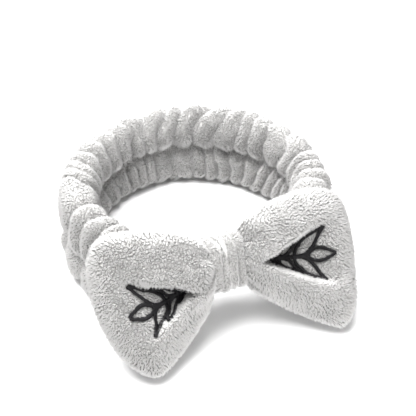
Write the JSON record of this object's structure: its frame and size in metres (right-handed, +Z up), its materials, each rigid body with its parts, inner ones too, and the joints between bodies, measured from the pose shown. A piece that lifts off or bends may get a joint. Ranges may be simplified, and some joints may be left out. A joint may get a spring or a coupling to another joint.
{
  "type": "spa headband",
  "caption": "Plush stretch headband with gathered fleece sleeve over an elastic loop and a padded two-wing bow held by a fleece wrap, leaf sprigs embroidered on the wings.",
  "frame": {"origin": "on the floor under the middle of the whole headband's outer box", "axes": "+Z up, out of the head opening; -Y towards the bow; +X to the right of someone who faces the bow"},
  "size_m": [0.179, 0.2068, 0.0665],
  "materials": {
    "fleece": "deep-pile coral fleece, matt",
    "fleece_wrap": "deep-pile coral fleece, matt",
    "elastic": "woven elastic tape",
    "thread": "polyester sewing thread",
    "embroidery": "black satin-stitch thread",
    "wadding": "polyester wadding",
    "backing": "non-woven stabiliser"
  },
  "bodies": {
    "front": {"sleeve_front_left": "fleece", "sleeve_front_right": "fleece", "sleeve_end_seam": "thread", "long_seam_front_left": "thread", "long_seam_front_right": "thread", "elastic_front_left": "elastic", "elastic_front_right": "elastic", "elastic_lap_stitch": "thread", "bow_waist": "fleece", "waist_tie": "thread", "knot_wrap": "fleece_wrap", "wrap_closing_seam": "thread"},
    "left_side": {"sleeve_side_left": "fleece", "long_seam_side_left": "thread", "elastic_side_left": "elastic"},
    "right_side": {"sleeve_side_right": "fleece", "long_seam_side_right": "thread", "elastic_side_right": "elastic"},
    "rear": {"sleeve_rear": "fleece", "long_seam_rear": "thread", "elastic_rear": "elastic"},
    "left_neck": {"left_pleat": "fleece"},
    "right_neck": {"right_pleat": "fleece"},
    "left_wing": {"left_wing_front_panel": "fleece", "left_wing_back_panel": "fleece", "left_wadding": "wadding", "left_embroidery_backing": "backing", "left_wing_edge_seam": "thread", "left_embroidery": "embroidery"},
    "right_wing": {"right_wing_front_panel": "fleece", "right_wing_back_panel": "fleece", "right_wadding": "wadding", "right_embroidery_backing": "backing", "right_wing_edge_seam": "thread", "right_embroidery": "embroidery"}
  },
  "joints": [
    {"name": "elastic_stretch", "type": "slide", "parent": "front", "child": "rear", "axis": [0, 1, 0], "range_m": [0, 0.075], "stiffness_N_per_m": 75},
    {"name": "left_side_stretch", "type": "slide", "parent": "front", "child": "left_side", "axis": [0, 1, 0], "range_m": [0, 0.0375]},
    {"name": "right_side_stretch", "type": "slide", "parent": "front", "child": "right_side", "axis": [0, 1, 0], "range_m": [0, 0.0375]},
    {"name": "left_wing_lift", "type": "hinge", "parent": "front", "child": "left_neck", "pos_m": [-0.01028, -0.05958, 0.041], "axis": [-0.0389, 0.8902, -0.454], "range_deg": [-6, 6], "stiffness_Nm_per_rad": 0.3},
    {"name": "right_wing_lift", "type": "hinge", "parent": "front", "child": "right_neck", "pos_m": [0.00111, -0.05908, 0.041], "axis": [0.0389, -0.8902, 0.454], "range_deg": [-6, 6], "stiffness_Nm_per_rad": 0.3},
    {"name": "left_wing_flap", "type": "hinge", "parent": "left_neck", "child": "left_wing", "pos_m": [-0.01516, -0.06711, 0.04472], "axis": [-0.0198, 0.4536, 0.891], "range_deg": [-1, 35], "stiffness_Nm_per_rad": 0.15},
    {"name": "right_wing_flap", "type": "hinge", "parent": "right_neck", "child": "right_wing", "pos_m": [0.00662, -0.06616, 0.04472], "axis": [0.0198, -0.4536, -0.891], "range_deg": [-1, 35], "stiffness_Nm_per_rad": 0.15}
  ],
  "couplings": [
    {"joint": "left_side_stretch", "follows": "elastic_stretch", "ratio": 0.5},
    {"joint": "right_side_stretch", "follows": "elastic_stretch", "ratio": 0.5}
  ]
}
